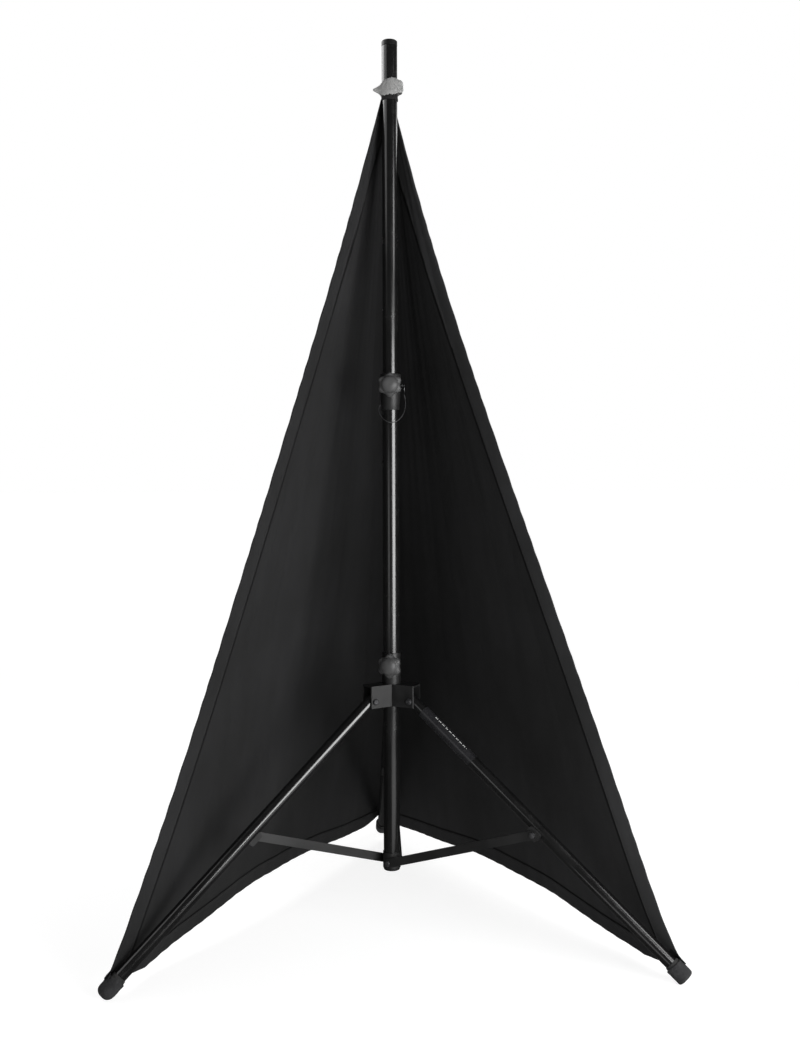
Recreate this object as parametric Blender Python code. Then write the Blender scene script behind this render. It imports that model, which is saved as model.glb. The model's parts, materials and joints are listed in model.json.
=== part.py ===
"""Tripod pole stand with a two-panel stretch fabric cover.

The stand has a telescopic pole, a sliding leg collar, three folding legs and three single-bar braces.
World frame: metres, +Z up, floor at Z = 0. The pole is vertical at X = 0, Y = AXIS_Y.
Legs stand at azimuths 210, 330 (front pair, -Y side) and 90 degrees (back leg, +Y side).
"""

import math

import bmesh
import bpy
import numpy as np
from mathutils import Matrix, Vector

# ---------------------------------------------------------------- driving dimensions
AXIS_Y = -0.170025
LEG_AZ = {"left": 210.0, "right": 330.0, "back": 90.0}
GAP = 0.0003
SEG = 32

# pole
OUTER_R = 0.0190
OUTER_IN = 0.0178
OUTER_Z0 = 0.137
OUTER_Z1 = 1.2280
INNER_R = 0.0175
INNER_IN = 0.0157
INNER_Z0 = 1.040
INNER_Z1 = 2.027
CAP_TOP = 2.039

# clamp collar on top of the outer tube
CLAMP_Z0 = 1.204
CLAMP_Z1 = 1.287
TETHER_Z = 1.191
CLAMP_R0 = 0.0208
CLAMP_R1 = 0.0240
CLAMP_KNOB_Z = 1.259
CLAMP_KNOB_AZ = 266.0
PIN_AZ = 358.0
RING_R = 0.0105
RING_T = 0.0011
RING_DROP = 0.0085

# leg collar
HUB_Z0 = 0.521
HUB_Z1 = 0.572
HUB_ARM = 0.066
HUB_HALF = 0.0190
HUB_WALL = 0.0038
HUB_NECK_R = 0.0216
HUB_NECK_Z1 = 0.644
HUB_KNOB_Z = 0.619
HUB_KNOB_AZ = 250.0
HUB_KNOB_SHIFT = 0.010

# star knobs
KNOB_R = 0.0260
KNOB_LOBE = 0.0028
KNOB_BASE = 0.0365

# legs
LEG_R = 0.0140
LEG_IN = 0.0125
PIVOT_R = 0.055
PIVOT_Z = 0.536
LEG_TILT = 50.35
LEG_HEAD = 0.016
LEG_END = 0.8040
FOOT_C = 0.8118
FOOT_S0 = 0.744
FOOT_R = 0.0162
POCKET_IN = 0.0172
POCKET_R = 0.0194
POCKET_S0 = 0.786
POCKET_FLOOR = 0.0024

# braces
BRACE_S = 0.401
BRACE_DROP = 0.012
BAR_IN = 0.0210
BAR_OUT = 0.0240
BAR_HALF = 0.0100
BASE_Z = 0.152
BASE_R = 0.0206
BASE_Z1 = 0.176

# cover
STRAP_Z = 1.9325
STRAP_T = 0.0030
STRAP_BULGE = 0.0100
STRAP_TAIL = 0.0165
NECK_Z0 = 1.9072
NECK_Z1 = 1.9124
COVER_Z = 1.9095
COVER_R = 0.0192
CORNER_R = 0.6955
TOP_AZ = {"left": 212.0, "right": 128.0}
HEM_FRONT = 0.002
HEM_BACK = 0.038
HEM_RISE = 0.046
CORNER_KEEP = 0.955
EDGE_PULL = {"left": (0.045, 0.130, 2.8, 0.180), "right": (0.022, 0.260, 2.6, 0.300)}
CLOTH_T = 0.0012
RIDGE_GAP = 0.0014
GORES = 6
FOLD_R = 0.112
FOLD_STEP = 0.0065
FOLD_SPREAD = 0.012
FOLD_Z = 0.060

for old in list(bpy.data.objects):
    bpy.data.objects.remove(old, do_unlink=True)

AXIS = Vector((0.0, AXIS_Y, 0.0))
UP = Vector((0.0, 0.0, 1.0))


# ---------------------------------------------------------------- helpers
def material(name, colour, rough, metallic=0.0):
    m = bpy.data.materials.new(name)
    m.use_nodes = True
    shader = m.node_tree.nodes["Principled BSDF"]
    shader.inputs["Base Color"].default_value = (*colour, 1.0)
    shader.inputs["Roughness"].default_value = rough
    shader.inputs["Metallic"].default_value = metallic
    return m


def radial(az):
    a = math.radians(az)
    return Vector((math.cos(a), math.sin(a), 0.0))


def counter_clockwise(az):
    a = math.radians(az)
    return Vector((-math.sin(a), math.cos(a), 0.0))


def basis(origin, x_axis, y_axis, z_axis):
    m = Matrix.Identity(4)
    for i, v in enumerate((x_axis, y_axis, z_axis)):
        for k in range(3):
            m[k][i] = v[k]
    m.translation = origin
    return m


def along(origin, direction, side):
    """Local +Z runs along direction, local +X is nearest to side."""
    z = direction.normalized()
    x = (side - z * side.dot(z)).normalized()
    return basis(origin, x, z.cross(x), z)


def finish(name, bm, matrix, mat, smooth=True, hidden=False):
    bmesh.ops.recalc_face_normals(bm, faces=bm.faces[:])
    mesh = bpy.data.meshes.new(name)
    bm.to_mesh(mesh)
    bm.free()
    for p in mesh.polygons:
        p.use_smooth = smooth
    ob = bpy.data.objects.new(name, mesh)
    ob.matrix_world = matrix
    bpy.context.scene.collection.objects.link(ob)
    if mat is not None:
        mesh.materials.append(mat)
    if hidden:
        ob.hide_render = True
        ob.display_type = "WIRE"
    return ob


def revolve(bm, profile, seg=SEG, matrix=None, lobes=None):
    """Closed (radius, height) loop turned about local Z; a point at radius 0 becomes one vertex."""
    rings = []
    for k, (r, z) in enumerate(profile):
        if r < 1e-9:
            rings.append([bm.verts.new((0.0, 0.0, z))])
            continue
        ring = []
        for i in range(seg):
            a = 2.0 * math.pi * i / seg
            rr = r
            if lobes and lobes[1][k]:
                rr = r + lobes[1][k] * math.cos(lobes[0] * a)
            ring.append(bm.verts.new((rr * math.cos(a), rr * math.sin(a), z)))
        rings.append(ring)
    count = len(rings)
    for k in range(count):
        a, b = rings[k], rings[(k + 1) % count]
        if len(a) == 1 and len(b) == 1:
            continue
        for i in range(seg):
            j = (i + 1) % seg
            if len(a) == 1:
                bm.faces.new((a[0], b[i], b[j]))
            elif len(b) == 1:
                bm.faces.new((a[i], b[0], a[j]))
            else:
                bm.faces.new((a[i], b[i], b[j], a[j]))
    if matrix is not None:
        verts = [v for ring in rings for v in ring]
        bmesh.ops.transform(bm, matrix=matrix, verts=verts)


def prism(bm, outline, z0, z1, matrix=None):
    low = [bm.verts.new((x, y, z0)) for x, y in outline]
    high = [bm.verts.new((x, y, z1)) for x, y in outline]
    bm.faces.new(low[::-1])
    bm.faces.new(high)
    n = len(outline)
    for i in range(n):
        j = (i + 1) % n
        bm.faces.new((low[i], low[j], high[j], high[i]))
    if matrix is not None:
        bmesh.ops.transform(bm, matrix=matrix, verts=low + high)


def rod_profile(r, z0, z1, edge=0.0):
    if edge <= 0.0:
        return [(0.0, z0), (r, z0), (r, z1), (0.0, z1)]
    return [
        (0.0, z0),
        (r - edge, z0),
        (r, z0 + edge),
        (r, z1 - edge),
        (r - edge, z1),
        (0.0, z1),
    ]


def turned(name, profile, matrix, mat, seg=SEG, lobes=None):
    bm = bmesh.new()
    revolve(bm, profile, seg, None, lobes)
    return finish(name, bm, matrix, mat)


def combine(ob, other, operation):
    m = ob.modifiers.new(operation.lower(), "BOOLEAN")
    m.operation = operation
    m.solver = "EXACT"
    m.object = other


def flat_shade_edges(ob):
    ob.data.set_sharp_from_angle(angle=math.radians(35.0))


# ---------------------------------------------------------------- materials
PAINT = material("black_powder_coat", (0.012, 0.012, 0.013), 0.28)
PLASTIC = material("black_moulded_plastic", (0.020, 0.020, 0.021), 0.45)
STEEL = material("zinc_plated_steel", (0.45, 0.45, 0.46), 0.35, 1.0)
RUBBER = material("black_rubber", (0.015, 0.015, 0.015), 0.85)
CLOTH = material("black_stretch_knit", (0.010, 0.010, 0.011), 0.95)
POCKET = material("foot_pocket_fabric", (0.030, 0.030, 0.031), 0.95)
STRAP = material("grey_hook_and_loop", (0.32, 0.32, 0.31), 1.0)
LABEL = material("leg_label_film", (0.030, 0.030, 0.032), 0.5)
OXIDE = material("black_oxide_steel", (0.020, 0.020, 0.021), 0.42, 0.6)

WORLD = Matrix.Translation(AXIS)

# ---------------------------------------------------------------- pole
outer_tube = turned(
    "outer_tube",
    [
        (OUTER_IN, OUTER_Z0),
        (OUTER_R, OUTER_Z0),
        (OUTER_R, OUTER_Z1),
        (OUTER_IN, OUTER_Z1),
    ],
    WORLD,
    PAINT,
    40,
)
turned(
    "inner_tube",
    [
        (INNER_IN, INNER_Z0),
        (INNER_R, INNER_Z0),
        (INNER_R, INNER_Z1),
        (INNER_IN, INNER_Z1),
    ],
    WORLD,
    PAINT,
    40,
)
turned(
    "top_cap",
    [
        (0.0, INNER_Z1 - 0.018),
        (INNER_IN - GAP - 0.001, INNER_Z1 - 0.018),
        (INNER_IN - GAP, INNER_Z1 - 0.014),
        (INNER_IN - GAP, INNER_Z1 + GAP),
        (INNER_R + 0.0004, INNER_Z1 + GAP),
        (INNER_R + 0.0004, CAP_TOP - 0.002),
        (INNER_R - 0.0016, CAP_TOP),
        (0.0, CAP_TOP),
    ],
    WORLD,
    PLASTIC,
)
turned(
    "bottom_plug",
    [
        (0.0, OUTER_Z0 - 0.004),
        (OUTER_R - 0.001, OUTER_Z0 - 0.004),
        (OUTER_R, OUTER_Z0 - 0.003),
        (OUTER_R, OUTER_Z0 - GAP),
        (OUTER_IN - GAP, OUTER_Z0 - GAP),
        (OUTER_IN - GAP, OUTER_Z0 + 0.006),
        (0.0, OUTER_Z0 + 0.006),
    ],
    WORLD,
    PLASTIC,
)
base_collar = turned(
    "base_collar",
    [
        (OUTER_R + GAP, OUTER_Z0 + 0.001),
        (BASE_R - 0.0004, OUTER_Z0 + 0.001),
        (BASE_R, OUTER_Z0 + 0.0014),
        (BASE_R, BASE_Z1 - 0.0006),
        (BASE_R - 0.0006, BASE_Z1),
        (OUTER_R + GAP, BASE_Z1),
    ],
    WORLD,
    PAINT,
    40,
)

# ---------------------------------------------------------------- clamp collar, knobs and pin
def knob_frame(az, z, shift):
    out = radial(az)
    side = counter_clockwise(az)
    return along(AXIS + UP * z + side * shift, out, UP)


CLAMP_FRAME = knob_frame(CLAMP_KNOB_AZ, CLAMP_KNOB_Z, 0.0)
HUB_FRAME = knob_frame(HUB_KNOB_AZ, HUB_KNOB_Z, HUB_KNOB_SHIFT)
PIN_FRAME = along(AXIS + UP * (CLAMP_KNOB_Z + 0.002), radial(PIN_AZ), UP)

bores = bmesh.new()
revolve(
    bores,
    [
        (0.0, CLAMP_Z0 - 0.02),
        (OUTER_R + GAP, CLAMP_Z0 - 0.02),
        (OUTER_R + GAP, OUTER_Z1 + GAP),
        (INNER_R + GAP, OUTER_Z1 + GAP),
        (INNER_R + GAP, CLAMP_Z1 + 0.02),
        (0.0, CLAMP_Z1 + 0.02),
    ],
    40,
)
revolve(bores, rod_profile(OUTER_R + GAP, HUB_Z0 - 0.03, HUB_NECK_Z1 + 0.03), 40)
BORES = finish("cut_bores", bores, WORLD, None, hidden=True)

holes = bmesh.new()
revolve(holes, rod_profile(0.0043, 0.010, 0.060), 24, CLAMP_FRAME)
revolve(holes, rod_profile(0.0028, 0.012, 0.060), 24, PIN_FRAME)
revolve(holes, rod_profile(0.0043, 0.009, 0.060), 24, HUB_FRAME)
HOLES = finish("cut_screw_holes", holes, Matrix.Identity(4), None, hidden=True)

clamp_collar = turned(
    "clamp_collar",
    [
        (0.0, CLAMP_Z0),
        (CLAMP_R0 - 0.0006, CLAMP_Z0),
        (CLAMP_R0, CLAMP_Z0 + 0.0010),
        (CLAMP_R0 + 0.0010, CLAMP_Z0 + 0.022),
        (CLAMP_R1, CLAMP_Z0 + 0.056),
        (CLAMP_R1, CLAMP_Z1 - 0.004),
        (CLAMP_R1 - 0.0012, CLAMP_Z1 - 0.001),
        (CLAMP_R1 - 0.0030, CLAMP_Z1),
        (0.0, CLAMP_Z1),
    ],
    WORLD,
    PLASTIC,
    40,
)
boss = bmesh.new()
revolve(boss, rod_profile(0.0115, 0.004, 0.0345, 0.0008), 24, CLAMP_FRAME)
CLAMP_BOSS = finish("add_clamp_boss", boss, Matrix.Identity(4), None, hidden=True)
combine(clamp_collar, CLAMP_BOSS, "UNION")
combine(clamp_collar, BORES, "DIFFERENCE")
combine(clamp_collar, HOLES, "DIFFERENCE")

KNOB_PROFILE = [
    (0.0, 0.0100),
    (0.0043, 0.0100),
    (0.0043, 0.0),
    (0.0130, 0.0),
    (0.0150, 0.0020),
    (KNOB_R - 0.0032, 0.0024),
    (KNOB_R - 0.0006, 0.0044),
    (KNOB_R, 0.0080),
    (KNOB_R - 0.0004, 0.0120),
    (KNOB_R - 0.0026, 0.0152),
    (0.0214, 0.0163),
    (0.0199, 0.0166),
    (0.0193, 0.0196),
    (0.0170, 0.0234),
    (0.0126, 0.0264),
    (0.0066, 0.0281),
    (0.0, 0.0287),
]
KNOB_LOBES = [0, 0, 0, 0, 0.0004, KNOB_LOBE, KNOB_LOBE, KNOB_LOBE, KNOB_LOBE, KNOB_LOBE, 0.0010, 0, 0, 0, 0, 0, 0]

for label, frame in (("clamp", CLAMP_FRAME), ("collar", HUB_FRAME)):
    turned(
        label + "_knob",
        KNOB_PROFILE,
        frame @ Matrix.Translation((0.0, 0.0, KNOB_BASE)),
        PLASTIC,
        36,
        (6, KNOB_LOBES),
    )
    inner_end = INNER_R + 0.0005 if label == "clamp" else OUTER_R + 0.0012
    turned(
        label + "_stud",
        rod_profile(0.0040, inner_end, KNOB_BASE + 0.0096),
        frame,
        STEEL,
        20,
    )

pin = bmesh.new()
revolve(
    pin,
    [
        (0.0, INNER_R + 0.0006),
        (0.0025, INNER_R + 0.0006),
        (0.0025, CLAMP_R1 + 0.0008),
        (0.0046, CLAMP_R1 + 0.0008),
        (0.0050, CLAMP_R1 + 0.0014),
        (0.0050, CLAMP_R1 + 0.0052),
        (0.0040, CLAMP_R1 + 0.0062),
        (0.0026, CLAMP_R1 + 0.0066),
        (0.0026, CLAMP_R1 + 0.0092),
        (0.0, CLAMP_R1 + 0.0095),
    ],
    24,
)
safety_pin = finish("safety_pin", pin, PIN_FRAME, STEEL)

# pull ring: it passes through the outer end of the pin and hangs below it
pull_ring = bmesh.new()
revolve(
    pull_ring,
    [
        (RING_R + RING_T * math.cos(a), RING_T * math.sin(a))
        for a in (2.0 * math.pi * k / 10 for k in range(10))
    ],
    28,
    PIN_FRAME @ Matrix.Translation((-RING_DROP, 0.0, CLAMP_R1 + 0.0078)),
)
PULL_RING = finish("add_pull_ring", pull_ring, Matrix.Identity(4), None, hidden=True)
combine(safety_pin, PULL_RING, "UNION")

# ---------------------------------------------------------------- leg collar
star = []
for az in (210.0, 330.0, 90.0):
    out = radial(az)
    side = counter_clockwise(az)
    notch = radial(az - 60.0) * (HUB_HALF / math.sin(math.radians(60.0)))
    star.append((notch.x, notch.y))
    for r, w in ((HUB_ARM - 0.001, -HUB_HALF), (HUB_ARM, 0.001 - HUB_HALF)):
        p = out * r + side * w
        star.append((p.x, p.y))
    for r, w in ((HUB_ARM, HUB_HALF - 0.001), (HUB_ARM - 0.001, HUB_HALF)):
        p = out * r + side * w
        star.append((p.x, p.y))
hub = bmesh.new()
prism(hub, star, HUB_Z0, HUB_Z1)
hub_body = finish("leg_collar", hub, WORLD, PLASTIC, smooth=False)

neck = bmesh.new()
revolve(neck, rod_profile(HUB_NECK_R, HUB_Z0 + 0.004, HUB_NECK_Z1, 0.0008), 40)
NECK = finish("add_collar_neck", neck, WORLD, None, hidden=True)
boss = bmesh.new()
revolve(boss, rod_profile(0.0110, 0.004, 0.0345, 0.0008), 24, HUB_FRAME)
HUB_BOSS = finish("add_collar_boss", boss, Matrix.Identity(4), None, hidden=True)

channels = bmesh.new()
pivots = bmesh.new()
for az in (210.0, 330.0, 90.0):
    half = HUB_HALF - HUB_WALL
    frame = basis(AXIS, radial(az), counter_clockwise(az), UP)
    prism(
        channels,
        [(0.0262, -half), (HUB_ARM + 0.01, -half), (HUB_ARM + 0.01, half), (0.0262, half)],
        HUB_Z0 - 0.01,
        HUB_Z1 - 0.0035,
        frame,
    )
    at = AXIS + radial(az) * PIVOT_R + UP * PIVOT_Z
    revolve(
        pivots,
        rod_profile(0.0043, -0.030, 0.030),
        24,
        along(at, counter_clockwise(az), UP),
    )
CHANNELS = finish("cut_collar_channels", channels, Matrix.Identity(4), None, hidden=True)
PIVOTS = finish("cut_leg_pivots", pivots, Matrix.Identity(4), None, hidden=True)
combine(hub_body, NECK, "UNION")
combine(hub_body, HUB_BOSS, "UNION")
combine(hub_body, BORES, "DIFFERENCE")
combine(hub_body, CHANNELS, "DIFFERENCE")
combine(hub_body, PIVOTS, "DIFFERENCE")
combine(hub_body, HOLES, "DIFFERENCE")

# ---------------------------------------------------------------- legs
TILT = math.radians(LEG_TILT)


def leg_frame(az):
    """Origin at the leg pivot, +Z down the leg, +X towards the floor and the pole, +Y counter-clockwise."""
    out = radial(az)
    down = out * math.sin(TILT) - UP * math.cos(TILT)
    drop = -out * math.cos(TILT) - UP * math.sin(TILT)
    origin = AXIS + out * PIVOT_R + UP * PIVOT_Z
    return basis(origin, drop, down.cross(drop), down)


def flatten(bm, matrix, level):
    """Push every vertex below a world height up to it, which leaves a flat sole."""
    inverse = matrix.inverted()
    for v in bm.verts:
        p = matrix @ v.co
        if p.z < level:
            p.z = level
            v.co = inverse @ p


def round_end(r, centre, steps):
    return [
        (r * math.cos(a), centre + r * math.sin(a))
        for a in (math.pi / 2 * k / steps for k in range(steps + 1))
    ][:-1] + [(0.0, centre + r)]


saddles = bmesh.new()
for label, az in LEG_AZ.items():
    revolve(
        saddles,
        rod_profile(LEG_R + GAP, BRACE_S - 0.04, BRACE_S + 0.04),
        32,
        leg_frame(az),
    )
SADDLES = finish("cut_leg_saddles", saddles, Matrix.Identity(4), None, hidden=True)

for label, az in LEG_AZ.items():
    frame = leg_frame(az)
    ccw = counter_clockwise(az)
    clockwise = -ccw
    out = radial(az)

    tube = turned(
        "leg_tube_" + label,
        [
            (LEG_IN, -LEG_HEAD),
            (LEG_R, -LEG_HEAD),
            (LEG_R, LEG_END),
            (LEG_IN, LEG_END),
        ],
        frame,
        PAINT,
    )
    combine(tube, PIVOTS, "DIFFERENCE")

    turned(
        "leg_bolt_" + label,
        [
            (0.0, -HUB_HALF - 0.0050),
            (0.0048, -HUB_HALF - 0.0050),
            (0.0068, -HUB_HALF - 0.0034),
            (0.0072, -HUB_HALF - GAP),
            (0.0040, -HUB_HALF - GAP),
            (0.0040, HUB_HALF + GAP),
            (0.0072, HUB_HALF + GAP),
            (0.0068, HUB_HALF + 0.0034),
            (0.0048, HUB_HALF + 0.0050),
            (0.0, HUB_HALF + 0.0050),
        ],
        along(AXIS + out * PIVOT_R + UP * PIVOT_Z, ccw, UP),
        OXIDE,
        24,
    )

    # rubber foot: a cap over the tube end, its underside flattened above the pocket floor
    foot = bmesh.new()
    revolve(
        foot,
        [(LEG_R + GAP, FOOT_S0), (FOOT_R - 0.0006, FOOT_S0), (FOOT_R, FOOT_S0 + 0.001)]
        + round_end(FOOT_R, FOOT_C, 5)
        + [(0.0, LEG_END + 0.0006), (LEG_R + GAP, LEG_END + 0.0006)],
        24,
    )
    flatten(foot, frame, POCKET_FLOOR + 0.0012)
    finish("foot_" + label, foot, frame, RUBBER)

    # fabric pocket: an open cup that holds the foot, with a flat sole on the floor
    outer_loop = [(POCKET_IN, POCKET_S0), (POCKET_R - 0.0004, POCKET_S0), (POCKET_R, POCKET_S0 + 0.0008)]
    outer_loop += round_end(POCKET_R, FOOT_C, 7)
    inner_loop = round_end(POCKET_IN, FOOT_C, 6)[::-1]
    pocket = bmesh.new()
    revolve(pocket, outer_loop + inner_loop, 28)
    inverse = frame.inverted()
    for v in pocket.verts:
        r = math.hypot(v.co.x, v.co.y)
        beyond = max(0.0, v.co.z - FOOT_C)
        reach = math.hypot(r, beyond)
        level = 0.0 if reach > 0.5 * (POCKET_IN + POCKET_R) else POCKET_FLOOR
        p = frame @ v.co
        if p.z < level:
            p.z = level
            v.co = inverse @ p
    finish("foot_pocket_" + label, pocket, frame, POCKET)

    # brace saddle under the leg tube, reaching sideways to the brace bar
    block = bmesh.new()
    outline = []
    for sx, sz, a0 in ((1, 1, 0), (-1, 1, 90), (-1, -1, 180), (1, -1, 270)):
        for k in range(5):
            a = math.radians(a0 + 22.5 * k)
            outline.append(
                (
                    BRACE_DROP - 0.002 + sx * 0.006 + 0.005 * math.cos(a),
                    sz * 0.011 + 0.005 * math.sin(a),
                )
            )
    local = basis(
        frame @ Vector((0.0, 0.0, BRACE_S)),
        (frame.to_3x3() @ Vector((1.0, 0.0, 0.0))),
        (frame.to_3x3() @ Vector((0.0, 0.0, 1.0))),
        clockwise,
    )
    prism(block, outline, -0.0120, BAR_IN - GAP)
    saddle = finish("brace_saddle_" + label, block, local, PLASTIC, smooth=False)
    combine(saddle, SADDLES, "DIFFERENCE")

# blank film sleeve on the right leg
label_frame = leg_frame(LEG_AZ["right"])
turned(
    "leg_label",
    [
        (LEG_R + GAP, 0.036),
        (LEG_R + GAP + 0.0004, 0.036),
        (LEG_R + GAP + 0.0004, 0.196),
        (LEG_R + GAP, 0.196),
    ],
    label_frame,
    LABEL,
)

# ---------------------------------------------------------------- braces
radials = bmesh.new()
for label, az in LEG_AZ.items():
    clockwise = -counter_clockwise(az)
    out = radial(az)
    start = AXIS + clockwise * 0.0 + UP * BASE_Z
    revolve(
        radials,
        rod_profile(0.0043, 0.012, 0.030),
        24,
        along(start, clockwise, UP),
    )
RADIALS = finish("cut_base_bolts", radials, Matrix.Identity(4), None, hidden=True)
combine(outer_tube, RADIALS, "DIFFERENCE")
combine(base_collar, RADIALS, "DIFFERENCE")

for label, az in LEG_AZ.items():
    out = radial(az)
    clockwise = -counter_clockwise(az)
    frame = leg_frame(az)
    knee = frame @ Vector((BRACE_DROP, 0.0, BRACE_S))
    foot_point = AXIS + UP * BASE_Z
    span = knee - foot_point
    length = span.length
    bar_x = span.normalized()
    bar_frame = basis(foot_point, bar_x, clockwise.cross(bar_x), clockwise)

    # flat bar with round ends and a bolt hole at each end
    steps = 10
    loop = []
    for k in range(steps + 1):
        a = math.radians(-90.0 + 180.0 * k / steps)
        loop.append((length + BAR_HALF * math.cos(a), BAR_HALF * math.sin(a)))
    for k in range(steps + 1):
        a = math.radians(90.0 + 180.0 * k / steps)
        loop.append((BAR_HALF * math.cos(a), BAR_HALF * math.sin(a)))
    bar = bmesh.new()
    prism(bar, loop, BAR_IN, BAR_OUT)
    bar_ob = finish("brace_bar_" + label, bar, bar_frame, PAINT, smooth=False)
    drills = bmesh.new()
    revolve(drills, rod_profile(0.0043, BAR_IN - 0.004, BAR_OUT + 0.004), 24)
    revolve(
        drills,
        rod_profile(0.0043, BAR_IN - 0.004, BAR_OUT + 0.004),
        24,
        Matrix.Translation((length, 0.0, 0.0)),
    )
    combine(bar_ob, finish("cut_bar_" + label, drills, bar_frame, None, hidden=True), "DIFFERENCE")

    turned(
        "base_bolt_" + label,
        [
            (0.0, 0.0150),
            (0.0040, 0.0150),
            (0.0040, BAR_OUT + GAP),
            (0.0076, BAR_OUT + GAP),
            (0.0074, BAR_OUT + 0.0030),
            (0.0052, BAR_OUT + 0.0046),
            (0.0, BAR_OUT + 0.0050),
        ],
        along(foot_point, clockwise, UP),
        OXIDE,
        24,
    )
    turned(
        "brace_rivet_" + label,
        [
            (0.0, BAR_IN + 0.0001),
            (0.0040, BAR_IN + 0.0001),
            (0.0040, BAR_OUT + GAP),
            (0.0072, BAR_OUT + GAP),
            (0.0068, BAR_OUT + 0.0024),
            (0.0040, BAR_OUT + 0.0036),
            (0.0, BAR_OUT + 0.0040),
        ],
        along(knee, clockwise, UP),
        OXIDE,
        24,
    )

# ---------------------------------------------------------------- cover
SIDES = {"left": 1.0, "right": -1.0}


def front_pull(side, v):
    """Share of the panel's width by which its front edge is drawn in from a straight line."""
    still, slope, power, at_foot = EDGE_PULL[side]
    free = still + slope * (1.0 - v) ** power
    held = at_foot * (1.0 - v)
    if held <= 1e-9:
        return 0.0
    return (free**-4 + held**-4) ** -0.25


def cover_point(side, u, v):
    """Panel surface: u = 0 at the front edge and 1 at the back ridge, v = 0 at the pole and 1 at the hem."""
    mirror = SIDES[side]
    u = min(1.0, max(0.0, u))
    v = min(1.0, max(0.0, v))
    w = u + front_pull(side, v) * (1.0 - u) ** 2
    az = math.radians(TOP_AZ[side] + (90.6 - TOP_AZ[side]) * w)
    top = Vector((mirror * COVER_R * math.cos(az), COVER_R * math.sin(az), COVER_Z))
    front = radial(210.0) * CORNER_R
    front.x *= mirror
    back = radial(90.0) * CORNER_R
    back.x = -mirror * RIDGE_GAP
    low = front.lerp(back, w)
    low.z = HEM_FRONT + (HEM_BACK - HEM_FRONT) * w + HEM_RISE * math.sin(math.pi * w) ** 1.5
    return AXIS + top.lerp(low, v)


def gore_limits(index):
    """Share of the panel's width, from the front edge, that one gore takes."""
    return index / GORES, (index + 1) / GORES


def gore_mesh(side, index, origin):
    bm = bmesh.new()
    u0, u1 = gore_limits(index)
    cols = 4
    rows = 16
    grid = []
    for r in range(rows + 1):
        t = r / rows
        line = []
        for c in range(cols + 1):
            s = c / cols
            u = u0 + (u1 - u0) * s
            corner = min(u, 1.0 - u) * 6.0
            end = CORNER_KEEP + (1.0 - CORNER_KEEP) * min(1.0, corner * 1.8)
            v = 0.002 + (end - 0.002) * t
            a = cover_point(side, u0, v)
            b = cover_point(side, u1, v)
            trim = min(0.12, 0.0004 / max(1e-6, (b - a).length))
            uu = u0 + (u1 - u0) * (trim + (1.0 - 2.0 * trim) * s)
            p = cover_point(side, uu, v)
            e = 1e-3
            du = cover_point(side, min(1.0, uu + e), v) - cover_point(side, max(0.0, uu - e), v)
            dv = cover_point(side, uu, v + e) - cover_point(side, uu, v - e)
            n = du.cross(dv).normalized()
            line.append((p - origin, n))
        grid.append(line)
    front = [[bm.verts.new(p + n * CLOTH_T * 0.5) for p, n in line] for line in grid]
    rear = [[bm.verts.new(p - n * CLOTH_T * 0.5) for p, n in line] for line in grid]
    for r in range(rows):
        for c in range(cols):
            bm.faces.new((front[r][c], front[r][c + 1], front[r + 1][c + 1], front[r + 1][c]))
            bm.faces.new((rear[r][c], rear[r + 1][c], rear[r + 1][c + 1], rear[r][c + 1]))
    for r in range(rows):
        bm.faces.new((front[r][0], front[r + 1][0], rear[r + 1][0], rear[r][0]))
        bm.faces.new((front[r][cols], rear[r][cols], rear[r + 1][cols], front[r + 1][cols]))
    for c in range(cols):
        bm.faces.new((front[0][c], rear[0][c], rear[0][c + 1], front[0][c + 1]))
        bm.faces.new((front[rows][c], front[rows][c + 1], rear[rows][c + 1], rear[rows][c]))
    return bm


def gore_hinge(side, index):
    """Swing that lays a gore in a flat stack beside the folded legs: hinge point, axis and angle."""
    mid = (index + 0.5) / GORES
    top = cover_point(side, mid, 0.0)
    hem = cover_point(side, mid, 1.0)
    stack = radial(150.0 if side == "left" else 30.0)
    across = Vector((-stack.y, stack.x, 0.0))
    order = index - (GORES - 1) / 2.0
    layer = FOLD_R + FOLD_STEP * (index if index % 2 == 0 else GORES - index)
    sign = 1.0 if side == "left" else -1.0
    goal = AXIS + stack * layer + across * (-sign * order * FOLD_SPREAD)
    length = (hem - top).length
    flat = Vector((goal.x - hem.x, goal.y - hem.y, 0.0))
    heading = flat.normalized()
    h0 = (hem - top).dot(heading)
    lean = math.atan2(-h0, top.z - hem.z)
    goal_h = (goal - top).dot(heading)
    goal_lean = math.asin(max(-1.0, min(1.0, -goal_h / length)))
    angle = lean - goal_lean
    goal_z = max(FOLD_Z, top.z - length * math.cos(goal_lean))
    move_h = flat.length
    move_z = goal_z - hem.z
    half = math.tan(angle / 2.0)
    mid_h = move_h / 2.0 - move_z / (2.0 * half)
    mid_z = move_z / 2.0 + move_h / (2.0 * half)
    centre = hem + heading * mid_h + UP * mid_z
    axis = heading.cross(UP)
    return centre, axis, angle


for side in SIDES:
    for index in range(GORES):
        centre, axis, angle = gore_hinge(side, index)
        bm = gore_mesh(side, index, centre)
        finish(
            f"cover_{side}_{index + 1}",
            bm,
            Matrix.Translation(centre),
            CLOTH,
        )

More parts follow.
